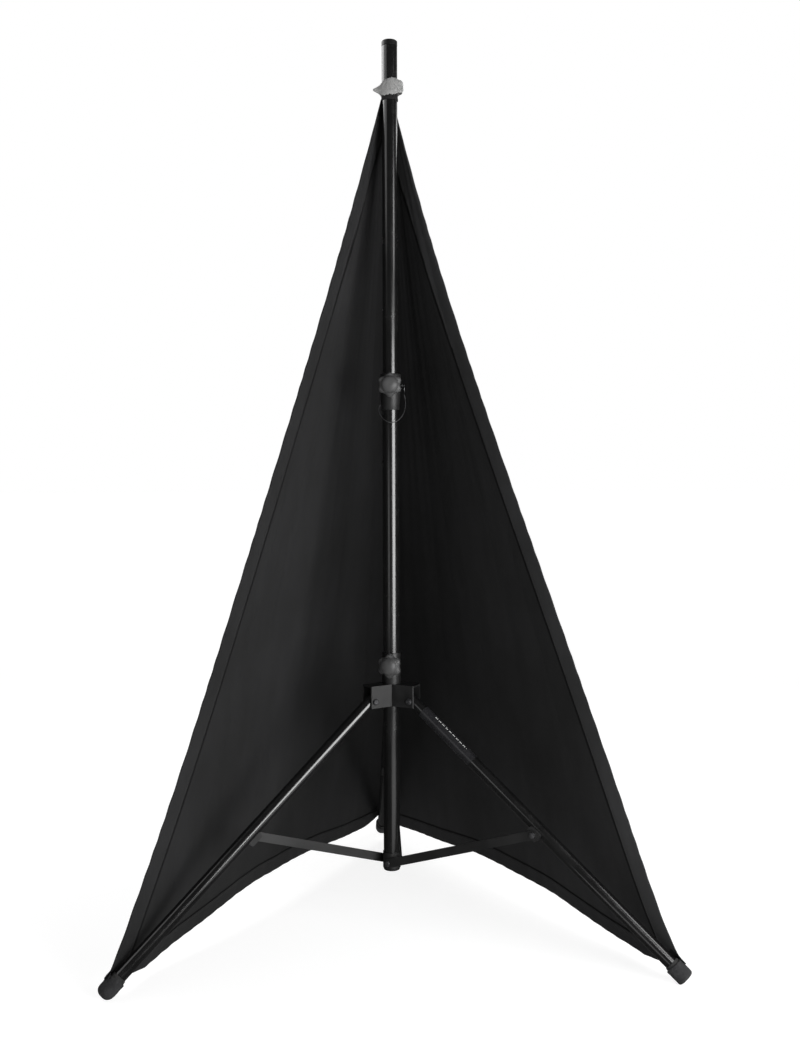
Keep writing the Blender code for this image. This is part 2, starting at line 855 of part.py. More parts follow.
# closure band round the pole: it stands off on the right, and its pointed end sticks out on the left
band = bmesh.new()
loops = []
for k in range(56):
    a = 2.0 * math.pi * k / 56
    right = math.atan2(math.sin(a), math.cos(a))
    left = math.pi - abs(right)
    inside = INNER_R + GAP + STRAP_BULGE * math.exp(-((right / 0.60) ** 2))
    outside = inside + STRAP_T
    point = STRAP_TAIL * math.exp(-((left / 0.24) ** 2))
    centre = STRAP_Z + 0.0030 * math.cos(a)
    half = 0.0118 + 0.0070 * abs(math.sin(a))
    loop = []
    for r, z in (
        (inside, -half),
        (outside, -half),
        (outside + point * 0.3, -half * 0.45),
        (outside + point, 0.0),
        (outside + point * 0.3, half * 0.45),
        (outside, half),
        (inside, half),
    ):
        loop.append(band.verts.new((r * math.cos(a), r * math.sin(a), centre + z)))
    loops.append(loop)
for k in range(56):
    one, two = loops[k], loops[(k + 1) % 56]
    for m in range(7):
        n = (m + 1) % 7
        band.faces.new((one[m], one[n], two[n], two[m]))
finish("cover_strap", band, WORLD, STRAP)

# closed top of the cover, drawn in round the pole under the band
turned(
    "cover_neck",
    [
        (INNER_R + GAP, NECK_Z0),
        (INNER_R + 0.0013, NECK_Z0),
        (INNER_R + 0.0015, NECK_Z1 - 0.0006),
        (INNER_R + 0.0010, NECK_Z1),
        (INNER_R + GAP, NECK_Z1),
    ],
    WORLD,
    CLOTH,
    40,
)

# ---------------------------------------------------------------- tether wire
TETHER_A = PIN_FRAME @ Vector((-RING_DROP - RING_R - RING_T - 0.0013, 0.0, CLAMP_R1 + 0.0078))
TETHER_B = AXIS + radial(190.0) * (CLAMP_R0 + 0.0026) + UP * (TETHER_Z + 0.024)


def bezier(points, t):
    work = [p.copy() for p in points]
    while len(work) > 1:
        work = [a.lerp(b, t) for a, b in zip(work[:-1], work[1:])]
    return work[0]


TETHER_PATH = [
    TETHER_A,
    TETHER_A + Vector((0.004, -0.002, -0.020)),
    AXIS + Vector((0.044, -0.020, TETHER_Z - 0.001)),
    AXIS + Vector((0.006, -0.052, TETHER_Z - 0.051)),
    AXIS + Vector((-0.022, -0.046, TETHER_Z - 0.021)),
    TETHER_B + Vector((-0.014, -0.014, -0.010)),
    TETHER_B,
]
curve = bpy.data.curves.new("tether", "CURVE")
curve.dimensions = "3D"
curve.bevel_depth = 0.0008
curve.bevel_resolution = 2
curve.use_fill_caps = True
spline = curve.splines.new("POLY")
COUNT = 40
spline.points.add(COUNT)
for i in range(COUNT + 1):
    p = bezier(TETHER_PATH, i / COUNT)
    spline.points[i].co = (p.x, p.y, p.z, 1.0)
curve.materials.append(STEEL)
tether = bpy.data.objects.new("tether", curve)
bpy.context.scene.collection.objects.link(tether)

for ob in bpy.data.objects:
    if ob.type == "MESH":
        flat_shade_edges(ob)
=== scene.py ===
"""Looks for the tripod pole stand with its fabric cover. Metres, +Z up, floor at Z = 0."""

import json
import math
import random

import bmesh
import bpy
import numpy as np
from mathutils import Matrix, Vector, noise

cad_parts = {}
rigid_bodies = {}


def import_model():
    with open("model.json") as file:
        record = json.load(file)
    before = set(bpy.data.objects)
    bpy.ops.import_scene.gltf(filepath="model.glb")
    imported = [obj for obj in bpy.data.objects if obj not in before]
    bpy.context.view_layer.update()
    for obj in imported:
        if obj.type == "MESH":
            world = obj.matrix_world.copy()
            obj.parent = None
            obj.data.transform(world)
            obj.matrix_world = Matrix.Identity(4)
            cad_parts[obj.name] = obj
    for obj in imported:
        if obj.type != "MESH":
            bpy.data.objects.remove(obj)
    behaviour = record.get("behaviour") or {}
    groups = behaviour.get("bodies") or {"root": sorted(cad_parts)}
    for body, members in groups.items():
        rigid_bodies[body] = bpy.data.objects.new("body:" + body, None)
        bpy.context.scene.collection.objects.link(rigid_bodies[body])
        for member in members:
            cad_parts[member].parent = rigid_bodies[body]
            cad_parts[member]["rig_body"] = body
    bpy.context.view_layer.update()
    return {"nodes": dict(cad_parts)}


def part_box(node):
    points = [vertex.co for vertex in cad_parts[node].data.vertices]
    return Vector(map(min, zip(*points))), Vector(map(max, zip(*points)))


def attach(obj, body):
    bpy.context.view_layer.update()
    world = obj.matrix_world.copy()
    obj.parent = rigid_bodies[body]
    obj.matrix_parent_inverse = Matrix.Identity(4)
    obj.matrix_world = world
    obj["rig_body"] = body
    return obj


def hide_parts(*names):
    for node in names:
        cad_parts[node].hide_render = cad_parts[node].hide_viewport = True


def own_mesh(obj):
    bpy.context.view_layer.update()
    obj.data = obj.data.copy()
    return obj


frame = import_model()

UP = Vector((0.0, 0.0, 1.0))
tube_low, tube_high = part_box("inner_tube")
AXIS = Vector(((tube_low.x + tube_high.x) / 2, (tube_low.y + tube_high.y) / 2, 0.0))
LEG_AZ = {"left": 210.0, "right": 330.0, "back": 90.0}


def radial(az):
    a = math.radians(az)
    return Vector((math.cos(a), math.sin(a), 0.0))


# ---------------------------------------------------------------- material kit
class Nodes:
    """Small helper that adds nodes to a material and links them."""

    def __init__(self, name, colour, rough, metallic=0.0):
        self.m = bpy.data.materials.new(name)
        self.m.use_nodes = True
        self.t = self.m.node_tree
        self.b = self.t.nodes["Principled BSDF"]
        self.b.inputs["Base Color"].default_value = (*colour, 1.0)
        self.b.inputs["Roughness"].default_value = rough
        self.b.inputs["Metallic"].default_value = metallic
        self.bumps = None

    def add(self, kind, **props):
        n = self.t.nodes.new(kind)
        for k, v in props.items():
            setattr(n, k, v)
        return n

    def link(self, a, b):
        self.t.links.new(a, b)

    def value(self, socket, x):
        if hasattr(x, "is_output"):
            self.link(x, socket)
        else:
            socket.default_value = x

    def math(self, op, a, b=0.0, c=0.0, clamp=False):
        n = self.add("ShaderNodeMath", operation=op, use_clamp=clamp)
        for i, x in enumerate((a, b, c)):
            self.value(n.inputs[i], x)
        return n.outputs[0]

    def coords(self, scale=(1.0, 1.0, 1.0)):
        n = self.add("ShaderNodeTexCoord")
        m = self.add("ShaderNodeMapping")
        m.inputs["Scale"].default_value = scale
        self.link(n.outputs["Object"], m.inputs["Vector"])
        return m.outputs[0]

    def uv(self, name):
        n = self.add("ShaderNodeUVMap", uv_map=name)
        s = self.add("ShaderNodeSeparateXYZ")
        self.link(n.outputs[0], s.inputs[0])
        return s.outputs[0], s.outputs[1]

    def wave(self, distance, period):
        """Sine of a distance in metres, one turn per period."""
        return self.math("SINE", self.math("MULTIPLY", distance, 2.0 * math.pi / period))

    def noise(self, vector, scale, detail=3.0, rough=0.55, distortion=0.0):
        n = self.add("ShaderNodeTexNoise")
        self.link(vector, n.inputs["Vector"])
        n.inputs["Scale"].default_value = scale
        n.inputs["Detail"].default_value = detail
        n.inputs["Roughness"].default_value = rough
        n.inputs["Distortion"].default_value = distortion
        return n.outputs["Fac"]

    def span(self, fac, a, b, lo, hi):
        n = self.add("ShaderNodeMapRange")
        self.link(fac, n.inputs["Value"])
        for k, v in (("From Min", a), ("From Max", b), ("To Min", lo), ("To Max", hi)):
            n.inputs[k].default_value = v
        return n.outputs["Result"]

    def mix(self, fac, a, b):
        n = self.add("ShaderNodeMix", data_type="RGBA")
        self.value(n.inputs[0], fac)
        for i, x in ((6, a), (7, b)):
            if hasattr(x, "is_output"):
                self.link(x, n.inputs[i])
            else:
                n.inputs[i].default_value = (*x, 1.0)
        return n.outputs[2]

    def bump(self, height, strength, distance):
        n = self.add("ShaderNodeBump")
        n.inputs["Strength"].default_value = strength
        n.inputs["Distance"].default_value = distance
        self.link(height, n.inputs["Height"])
        if self.bumps is not None:
            self.link(self.bumps, n.inputs["Normal"])
        self.bumps = n.outputs[0]
        self.link(self.bumps, self.b.inputs["Normal"])

    def colour(self, x):
        self.link(x, self.b.inputs["Base Color"])

    def rough(self, x):
        self.link(x, self.b.inputs["Roughness"])


def paint_material(name, base, rough, wear):
    """Gloss powder coat: orange peel, handling smudges and faint lengthwise scratches."""
    n = Nodes(name, (base, base, base), rough)
    p = n.coords()
    smudge = n.noise(p, 9.0, 4.0, 0.6)
    grime = n.noise(p, 55.0, 5.0, 0.65)
    fine = n.noise(p, 900.0, 2.0, 0.5)
    scratch = n.noise(n.coords((520.0, 520.0, 5.0)), 1.0, 3.0, 0.7)
    marks = n.span(scratch, 0.64, 0.72, 0.0, wear)
    tone = n.mix(n.span(smudge, 0.35, 0.7, 0.0, 1.0), (base * 0.8,) * 3, (base * 1.35,) * 3)
    n.colour(n.mix(marks, tone, (0.075, 0.075, 0.078)))
    handled = n.span(smudge, 0.3, 0.75, rough * 0.8, rough * 1.35)
    dull = n.math("ADD", handled, n.span(grime, 0.45, 0.8, 0.0, 0.10))
    n.rough(n.math("ADD", dull, n.math("MULTIPLY", marks, 0.35)))
    n.b.inputs["Coat Weight"].default_value = 0.25
    n.b.inputs["Coat Roughness"].default_value = 0.12
    n.bump(fine, 0.10, 0.00012)
    n.bump(scratch, 0.05, 0.0001)
    return n.m


def plastic_material(name, base, rough):
    """Moulded nylon with a spark-eroded grain and rubbed high spots."""
    n = Nodes(name, (base, base, base), rough)
    p = n.coords()
    grain = n.noise(p, 1700.0, 2.0, 0.6)
    cloud = n.noise(p, 34.0, 4.0, 0.6)
    rub = n.noise(p, 170.0, 5.0, 0.7)
    pale = (base * 1.4, base * 1.4, base * 1.42)
    n.colour(n.mix(n.span(cloud, 0.35, 0.7, 0.0, 1.0), (base * 0.75,) * 3, pale))
    matt = n.span(cloud, 0.3, 0.7, rough - 0.06, rough + 0.06)
    n.rough(n.math("ADD", matt, n.span(rub, 0.55, 0.8, 0.0, -0.12)))
    n.b.inputs["Specular IOR Level"].default_value = 0.34
    n.bump(grain, 0.35, 0.00012)
    n.bump(rub, 0.08, 0.0003)
    return n.m


def steel_material(name, shade):
    """Zinc-plated steel with spangle and stains; a lower shade is duller."""
    n = Nodes(name, (0.42 * shade, 0.43 * shade, 0.44 * shade), 0.34, 1.0)
    p = n.coords()
    spangle = n.noise(p, 420.0, 3.0, 0.6)
    stain = n.noise(p, 90.0, 4.0, 0.7)
    dark = (0.34 * shade, 0.345 * shade, 0.355 * shade)
    pale = (0.52 * shade, 0.525 * shade, 0.53 * shade)
    tone = n.mix(n.span(spangle, 0.35, 0.7, 0.0, 1.0), dark, pale)
    n.colour(n.mix(n.span(stain, 0.58, 0.78, 0.0, 0.7), tone, (0.16 * shade, 0.15 * shade, 0.14 * shade)))
    n.rough(n.span(spangle, 0.3, 0.7, 0.26, 0.48))
    n.bump(n.noise(p, 1300.0, 2.0, 0.5), 0.12, 0.0001)
    return n.m


def oxide_material():
    """Black oxide on steel: oily, blotchy and a little brighter on worn spots."""
    n = Nodes("black_oxide", (0.030, 0.030, 0.032), 0.40, 0.6)
    p = n.coords()
    blotch = n.noise(p, 240.0, 4.0, 0.65)
    n.colour(n.mix(n.span(blotch, 0.35, 0.72, 0.0, 1.0), (0.018, 0.018, 0.020), (0.070, 0.070, 0.072)))
    n.rough(n.span(blotch, 0.3, 0.7, 0.32, 0.52))
    n.bump(n.noise(p, 1500.0, 2.0, 0.5), 0.15, 0.0001)
    return n.m


def wire_material():
    """Dark plastic-coated wire with the lay of the strands showing through."""
    n = Nodes("coated_wire", (0.030, 0.030, 0.031), 0.38)
    turn_share, along_it = n.uv("cloth")
    turns = n.math("MULTIPLY", along_it, 2.0 * math.pi / 0.0032)
    lay = n.math("SINE", n.math("ADD", turns, n.math("MULTIPLY", turn_share, 2.0 * math.pi)))
    dull = n.noise(n.coords(), 300.0, 3.0, 0.6)
    n.colour(n.mix(n.span(dull, 0.35, 0.7, 0.0, 1.0), (0.020, 0.020, 0.021), (0.050, 0.050, 0.052)))
    n.rough(n.span(dull, 0.3, 0.7, 0.30, 0.5))
    n.bump(lay, 0.35, 0.00015)
    return n.m


def rubber_material():
    """Matt black rubber with dust on it."""
    n = Nodes("foot_rubber", (0.018, 0.018, 0.018), 0.85)
    p = n.coords()
    dust = n.noise(p, 60.0, 5.0, 0.7)
    n.colour(n.mix(n.span(dust, 0.5, 0.75, 0.0, 0.8), (0.015, 0.015, 0.015), (0.055, 0.053, 0.050)))
    n.rough(n.span(dust, 0.3, 0.7, 0.75, 0.95))
    n.bump(n.noise(p, 800.0, 3.0, 0.6), 0.4, 0.0003)
    return n.m


def knit_material(name, base):
    """Black stretch knit with sewn hems.

    UV map 'cloth' holds metres across and down, 'hem' the distances to the side edge and to the bottom edge.
    """
    n = Nodes(name, (base, base, base), 0.92)
    across, down = n.uv("cloth")
    side, foot = n.uv("hem")
    p = n.coords()
    # wales and courses of the knit
    wale = n.wave(across, 0.0022)
    rows = n.math("MULTIPLY", down, 2.0 * math.pi / 0.0016)
    course = n.math("SINE", n.math("ADD", rows, n.math("MULTIPLY", wale, 0.9)))
    knit = n.math("ADD", n.math("MULTIPLY", wale, 0.6), n.math("MULTIPLY", course, 0.4))
    cloud = n.noise(p, 3.2, 4.0, 0.55)
    streak = n.noise(n.coords((26.0, 26.0, 1.3)), 1.0, 3.0, 0.55)
    lint = n.noise(p, 640.0, 2.0, 0.5)
    pale = (base * 1.22, base * 1.22, base * 1.26)
    tone = n.mix(n.span(cloud, 0.3, 0.7, 0.0, 1.0), (base * 0.82,) * 3, pale)
    tone = n.mix(n.span(streak, 0.4, 0.75, 0.0, 0.35), tone, (base * 0.62,) * 3)

    def line(distance, centre, width):
        off = n.math("ABSOLUTE", n.math("SUBTRACT", distance, centre))
        return n.math("SUBTRACT", 1.0, n.span(off, width * 0.4, width, 0.0, 1.0), clamp=True)

    def stitches(distance, one, two, along):
        rows = n.math("MAXIMUM", line(distance, one, 0.0007), line(distance, two, 0.0007))
        return n.math("MULTIPLY", rows, n.math("GREATER_THAN", n.wave(along, 0.0040), -0.35))

    # shadow line where each hem ends, and two rows of stitches inside it
    groove = n.math("MAXIMUM", line(side, 0.0535, 0.0065), line(foot, 0.0392, 0.0036))
    stitch = n.math("MAXIMUM", stitches(side, 0.0490, 0.0445, down), stitches(foot, 0.0355, 0.0315, across))
    tone = n.mix(n.math("MULTIPLY", groove, 0.9), tone, (base * 0.20,) * 3)
    tone = n.mix(n.math("MULTIPLY", stitch, 0.6), tone, (base * 2.4,) * 3)
    tone = n.mix(n.span(lint, 0.70, 0.80, 0.0, 0.35), tone, (base * 3.2,) * 3)
    n.colour(tone)
    n.rough(n.span(cloud, 0.3, 0.7, 0.86, 0.98))
    n.b.inputs["Specular IOR Level"].default_value = 0.10
    n.b.inputs["Sheen Weight"].default_value = 0.02
    n.b.inputs["Sheen Roughness"].default_value = 0.45
    n.bump(knit, 0.35, 0.00025)
    n.bump(n.math("SUBTRACT", n.math("MULTIPLY", stitch, 0.6), groove), 0.7, 0.0011)
    n.bump(streak, 0.12, 0.004)
    return n.m


def pocket_material():
    """Plain-woven dusty fabric of the foot pockets."""
    n = Nodes("pocket_fabric", (0.045, 0.045, 0.046), 0.95)
    p = n.coords()
    round_it, along_it = n.uv("cloth")
    weave = n.math("MULTIPLY", n.wave(round_it, 0.0018), n.wave(along_it, 0.0018))
    cloud = n.noise(p, 60.0, 4.0, 0.65)
    dust = n.noise(p, 230.0, 4.0, 0.7)
    tone = n.mix(n.span(cloud, 0.3, 0.7, 0.0, 1.0), (0.017, 0.017, 0.018), (0.031, 0.031, 0.032))
    tone = n.mix(n.span(dust, 0.58, 0.8, 0.0, 0.5), tone, (0.085, 0.084, 0.080))
    n.colour(n.mix(n.span(weave, 0.2, 1.0, 0.0, 0.30), tone, (0.058, 0.058, 0.06)))
    n.rough(n.span(cloud, 0.3, 0.7, 0.85, 0.98))
    n.b.inputs["Specular IOR Level"].default_value = 0.2
    n.bump(weave, 0.6, 0.0004)
    n.bump(cloud, 0.3, 0.002)
    return n.m


def strap_material():
    """Light grey loop pile of the closure band."""
    n = Nodes("loop_pile", (0.42, 0.42, 0.41), 1.0)
    p = n.coords()
    pile = n.noise(p, 950.0, 4.0, 0.75, 0.6)
    tuft = n.noise(p, 260.0, 3.0, 0.6, 0.4)
    tone = n.mix(n.span(pile, 0.35, 0.7, 0.0, 1.0), (0.13, 0.13, 0.128), (0.34, 0.34, 0.335))
    n.colour(n.mix(n.span(tuft, 0.52, 0.75, 0.0, 0.55), tone, (0.09, 0.09, 0.09)))
    n.rough(n.span(pile, 0.3, 0.7, 0.9, 1.0))
    n.b.inputs["Sheen Weight"].default_value = 0.2
    n.b.inputs["Sheen Roughness"].default_value = 0.6
    n.bump(pile, 0.9, 0.0008)
    n.bump(tuft, 0.8, 0.0015)
    return n.m


def label_material():
    """Blank printed film: a dark sleeve with a few pale generic bars along it."""
    n = Nodes("leg_film", (0.012, 0.012, 0.013), 0.42)
    round_it, along_it = n.uv("cloth")
    p = n.coords()
    off = n.math("ABSOLUTE", round_it)
    row = n.math("MULTIPLY", n.math("GREATER_THAN", off, 0.0002), n.math("LESS_THAN", off, 0.0014))
    block = n.math("GREATER_THAN", n.wave(along_it, 0.0110), -0.45)
    inside = n.math("MULTIPLY", n.math("GREATER_THAN", along_it, 0.030), n.math("LESS_THAN", along_it, 0.132))
    bars = n.math("MULTIPLY", n.math("MULTIPLY", row, block), inside)
    scuff = n.noise(p, 260.0, 4.0, 0.7)
    worn = n.math("MULTIPLY", bars, n.span(scuff, 0.3, 0.55, 0.55, 1.0))
    cloud = n.noise(p, 40.0, 3.0, 0.6)
    tone = n.mix(n.span(cloud, 0.3, 0.7, 0.0, 1.0), (0.009, 0.009, 0.010), (0.016, 0.016, 0.017))
    n.colour(n.mix(worn, tone, (0.40, 0.40, 0.39)))
    n.rough(n.span(scuff, 0.3, 0.7, 0.20, 0.32))
    n.b.inputs["Specular IOR Level"].default_value = 0.35
    n.bump(scuff, 0.1, 0.0002)
    return n.m


POLE_PAINT = paint_material("pole_powder_coat", 0.0045, 0.20, 0.30)
LEG_PAINT = paint_material("leg_powder_coat", 0.0045, 0.17, 0.20)
BAR_PAINT = paint_material("bar_powder_coat", 0.0060, 0.40, 0.13)
PLASTIC = plastic_material("moulded_nylon", 0.0085, 0.46)
CAP_PLASTIC = plastic_material("cap_nylon", 0.006, 0.40)
KNOB_PLASTIC = plastic_material("knob_nylon", 0.046, 0.46)
STEEL = steel_material("zinc_steel", 1.0)
DULL_STEEL = steel_material("dull_steel", 0.22)
OXIDE = oxide_material()
WIRE = wire_material()
RUBBER = rubber_material()
KNIT = knit_material("stretch_knit", 0.0145)
# the right side hem gets almost twice the base of the left one: painted light, for the right band catching
# more light than the cloth beside it
HEM_BAND = {"left": knit_material("hem_band_left", 0.0158), "right": knit_material("hem_band_right_painted_light", 0.0290)}
POCKET = pocket_material()
STRAP = strap_material()
LABEL = label_material()


# ---------------------------------------------------------------- mesh kit
def new_object(name, bm, mat, smooth_angle=40.0):
    bmesh.ops.recalc_face_normals(bm, faces=bm.faces[:])
    mesh = bpy.data.meshes.new(name)
    bm.to_mesh(mesh)
    bm.free()
    mesh.materials.append(mat)
    mesh.shade_smooth()
    if smooth_angle:
        mesh.set_sharp_from_angle(angle=math.radians(smooth_angle))
    ob = bpy.data.objects.new(name, mesh)
    bpy.context.scene.collection.objects.link(ob)
    return ob


def body_of(node):
    return frame["nodes"][node]["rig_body"]


def polish(node, mat, edge=0.0004, angle=32.0):
    """The node's own shape with true flat faces, eased edges and smooth round sides."""
    src = frame["nodes"][node].data
    bm = bmesh.new()
    bm.from_mesh(src)
    bmesh.ops.remove_doubles(bm, verts=bm.verts[:], dist=2e-6)
    bmesh.ops.dissolve_limit(
        bm, angle_limit=math.radians(0.6), verts=bm.verts[:], edges=bm.edges[:]
    )
    ob = new_object(node + "_skin", bm, mat, angle)
    if edge:
        b = ob.modifiers.new("ease", "BEVEL")
        b.width = edge
        b.segments = 2
        b.limit_method = "ANGLE"
        b.angle_limit = math.radians(angle)
        b.harden_normals = False
    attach(ob, body_of(node))
    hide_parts(node)
    return ob


def lathe(name, profile, matrix, mat, seg=96, wobble=None):
    """A closed profile of (radius, height) points turned about local Z, then placed by the matrix."""
    bm = bmesh.new()
    rings = []
    for r, z in profile:
        if r < 1e-7:
            rings.append([bm.verts.new((0.0, 0.0, z))])
        else:
            ring = []
            for i in range(seg):
                a = 2.0 * math.pi * i / seg
                rr = r + (wobble(a, z, r) if wobble else 0.0)
                ring.append(bm.verts.new((rr * math.cos(a), rr * math.sin(a), z)))
            rings.append(ring)
    for k in range(len(rings)):
        a, b = rings[k], rings[(k + 1) % len(rings)]
        if len(a) == 1 and len(b) == 1:
            continue
        for i in range(seg):
            j = (i + 1) % seg
            if len(a) == 1:
                bm.faces.new((a[0], b[i], b[j]))
            elif len(b) == 1:
                bm.faces.new((a[i], b[0], a[j]))
            else:
                bm.faces.new((a[i], b[i], b[j], a[j]))
    bmesh.ops.transform(bm, matrix=matrix, verts=bm.verts[:])
    return new_object(name, bm, mat)


# ---------------------------------------------------------------- camera, floor and light
# fitted to the pole, the hub, the front feet and the ends of the braces
CAMERA_AT = AXIS + Vector((-0.10637, -2.6085, 1.0609))
camera_data = bpy.data.cameras.new("camera")
camera_data.sensor_fit = "HORIZONTAL"
camera_data.sensor_width = 36.0
camera_data.lens = 50.85
camera_data.clip_end = 100.0
camera = bpy.data.objects.new("camera", camera_data)
bpy.context.scene.collection.objects.link(camera)
heading = math.radians(2.8)
pitch = math.radians(2.491)
roll = math.radians(-0.159)
forward = Vector((math.sin(heading) * math.cos(pitch), math.cos(heading) * math.cos(pitch), -math.sin(pitch)))
turn = forward.to_track_quat("-Z", "Y").to_matrix().to_4x4()
camera.matrix_world = Matrix.Translation(CAMERA_AT) @ turn @ Matrix.Rotation(roll, 4, "Z")
bpy.context.scene.camera = camera


def pale_surface(name, base, glow):
    """Matt pale floor that also glows, fully white from 5 m out so that it meets the background."""
    n = Nodes(name, (base, base, base), 0.92)
    n.colour(n.mix(n.noise(n.coords(), 1.5), (base * 0.985,) * 3, (base,) * 3))
    n.b.inputs["Specular IOR Level"].default_value = 0.0
    n.b.inputs["Emission Color"].default_value = (1.0, 1.0, 1.0, 1.0)
    far = n.add("ShaderNodeVectorMath", operation="LENGTH")
    n.link(n.coords(), far.inputs[0])
    n.link(n.span(far.outputs["Value"], 1.2, 5.0, glow, 1.0), n.b.inputs["Emission Strength"])
    return n.m


FLOOR_R = 60.0
FLOOR_Z = -0.0004
bm = bmesh.new()
angles = [2.0 * math.pi * k / 64 for k in range(64)]
bm.faces.new([bm.verts.new((FLOOR_R * math.cos(a), FLOOR_R * math.sin(a), FLOOR_Z)) for a in angles])
floor = new_object("floor", bm, pale_surface("pale_floor", 0.30, 0.86), 0.0)
floor.visible_glossy = False

# a white room to look at, a dim one as a source of light
world = bpy.data.worlds.new("studio")
world.use_nodes = True
tree = world.node_tree
room = tree.nodes["Background"]
room.inputs["Color"].default_value = (1.0, 1.0, 1.0, 1.0)
seen = tree.nodes.new("ShaderNodeLightPath")
level = tree.nodes.new("ShaderNodeMapRange")
level.inputs["To Min"].default_value = 0.06
level.inputs["To Max"].default_value = 1.0
tree.links.new(seen.outputs["Is Camera Ray"], level.inputs["Value"])
tree.links.new(level.outputs["Result"], room.inputs["Strength"])
bpy.context.scene.world = world
bpy.context.scene.view_settings.view_transform = "Standard"


def softbox(name, at, aim, size, radiance):
    """Rectangular light whose brightness is given per area."""
    light = bpy.data.lights.new(name, "AREA")
    light.shape = "RECTANGLE"
    light.size = size[0]
    light.size_y = size[1]
    light.energy = radiance * math.pi * size[0] * size[1]
    ob = bpy.data.objects.new(name, light)
    bpy.context.scene.collection.objects.link(ob)
    direction = Vector(aim) - Vector(at)
    ob.matrix_world = Matrix.Translation(at) @ direction.to_track_quat("-Z", "Y").to_matrix().to_4x4()
    ob.visible_camera = False


def around(az, distance, height):
    return AXIS + radial(az) * distance + UP * height


softbox("key_right", around(311.0, 2.6, 0.95), AXIS + UP * 0.95, (1.80, 1.4), 11.0)
softbox("floor_glow", AXIS + Vector((0.65, -1.15, 0.015)), AXIS + Vector((0.65, -1.15, 2.0)), (1.3, 1.4), 1.2)
softbox("upper_right", AXIS + Vector((2.20, -1.42, 2.20)), AXIS + Vector((0.45, -0.26, 0.15)),
        (0.9, 0.5), 6.0)
softbox("behind_left", around(155.0, 2.7, 2.75), AXIS + UP * 1.9, (2.8, 1.4), 4.5)
softbox("behind_right", around(40.0, 2.8, 1.9), AXIS + UP * 0.9, (1.8, 1.6), 3.2)
softbox("side_left", around(205.0, 2.7, 2.75), AXIS + UP * 1.9, (1.6, 1.2), 1.4)
softbox("low_left", around(240.0, 2.2, 0.78), AXIS + UP * 0.9, (0.8, 0.7), 1.3)

# ---------------------------------------------------------------- pole tubes
WORLD = Matrix.Translation(AXIS)


def tube(name, r0, r1, z0, z1, matrix, mat, slot, body, *nodes):
    """Round tube from z0 to z1 between radii r0 and r1, with eased edges."""
    e = 0.0004
    steps = max(2, int((z1 - z0) / 0.05))
    profile = [(r1 - e, z0), (r1, z0 + e)]
    profile += [(r1, z0 + (z1 - z0) * k / steps) for k in range(1, steps)]
    profile += [(r1, z1 - e), (r1 - e, z1), (r0 + e, z1), (r0, z1 - e), (r0, z0 + e), (r0 + e, z0)]
    ob = lathe(name, profile, matrix, mat)
    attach(ob, body)
    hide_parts(*nodes)
    return ob


outer_low, outer_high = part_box("outer_tube")
R_OUTER = (outer_high.x - outer_low.x) / 2
R_INNER = (tube_high.x - tube_low.x) / 2
tube("pole_lower_tube", R_OUTER - 0.0012, R_OUTER, outer_low.z, outer_high.z, WORLD, POLE_PAINT,
     "black_powder_coat", "pole_lower", "outer_tube")
tube("pole_upper_tube", R_INNER - 0.0018, R_INNER, tube_low.z, tube_high.z, WORLD, POLE_PAINT,
     "black_powder_coat", "pole_upper", "inner_tube")

# ---------------------------------------------------------------- hardware that keeps its CAD shape
polish("top_cap", CAP_PLASTIC)
polish("bottom_plug", PLASTIC)
polish("base_collar", BAR_PAINT, 0.0003)
polish("clamp_collar", PLASTIC, 0.0006)
polish("leg_collar", PLASTIC, 0.0010)
polish("clamp_knob", KNOB_PLASTIC, 0.0)
polish("collar_knob", KNOB_PLASTIC, 0.0)
polish("clamp_stud", STEEL, 0.0003)
polish("collar_stud", STEEL, 0.0003)
polish("safety_pin", DULL_STEEL, 0.0003)
for label in LEG_AZ:
    polish("leg_bolt_" + label, OXIDE, 0.0003)
    polish("base_bolt_" + label, OXIDE, 0.0003)
    polish("brace_rivet_" + label, OXIDE, 0.0003)
    polish("brace_saddle_" + label, PLASTIC, 0.0006)
    polish("brace_bar_" + label, BAR_PAINT, 0.0006)

# ---------------------------------------------------------------- legs
PIVOT_R = 0.055
PIVOT_Z = 0.536
TILT = math.radians(50.35)
LEG_R = 0.0140
LEG_BORE = 0.0125
LEG_START = -0.016
LEG_END = 0.8040
FOOT_C = 0.8118
FILM_START = 0.036
FILM_END = 0.196
FILM_FACING = math.radians(109.0)


def leg_frame(az):
    """Frame of a leg: origin on its pivot, Z down the tube, X square to it, inwards and down."""
    out = radial(az)
    down = out * math.sin(TILT) - UP * math.cos(TILT)
    drop = -out * math.cos(TILT) - UP * math.sin(TILT)
    side = down.cross(drop)
    m = Matrix.Identity(4)
    for i, v in enumerate((drop, side, down)):
        for k in range(3):
            m[k][i] = v[k]
    m.translation = AXIS + out * PIVOT_R + UP * PIVOT_Z
    return m


for label, az in LEG_AZ.items():
    tube("leg_" + label + "_tube", LEG_BORE, LEG_R, LEG_START, LEG_END, leg_frame(az), LEG_PAINT,
         "black_powder_coat", "leg_" + label, "leg_tube_" + label)


def by_index(bm, table):
    """A list with the table's value for each vertex of the mesh, in the order of their indices."""
    bm.verts.index_update()
    values = [None] * len(bm.verts)
    for vert, value in table.items():
        values[vert.index] = value
    return values


def metre_uv(ob, name, function):
    """UV map in metres from a function of each vertex."""
    layer = ob.data.uv_layers.get(name) or ob.data.uv_layers.new(name=name)
    values = [function(v) for v in ob.data.vertices]
    flat = np.array([values[l.vertex_index] for l in ob.data.loops], np.float32)
    layer.data.foreach_set("uv", flat.ravel())


label_frame = leg_frame(LEG_AZ["right"])
film = tube("leg_film_sleeve", LEG_R + 0.0003, LEG_R + 0.0007, FILM_START, FILM_END, label_frame, LABEL,
            "leg_label_film", "leg_right", "leg_label")
back_to_leg = label_frame.inverted()


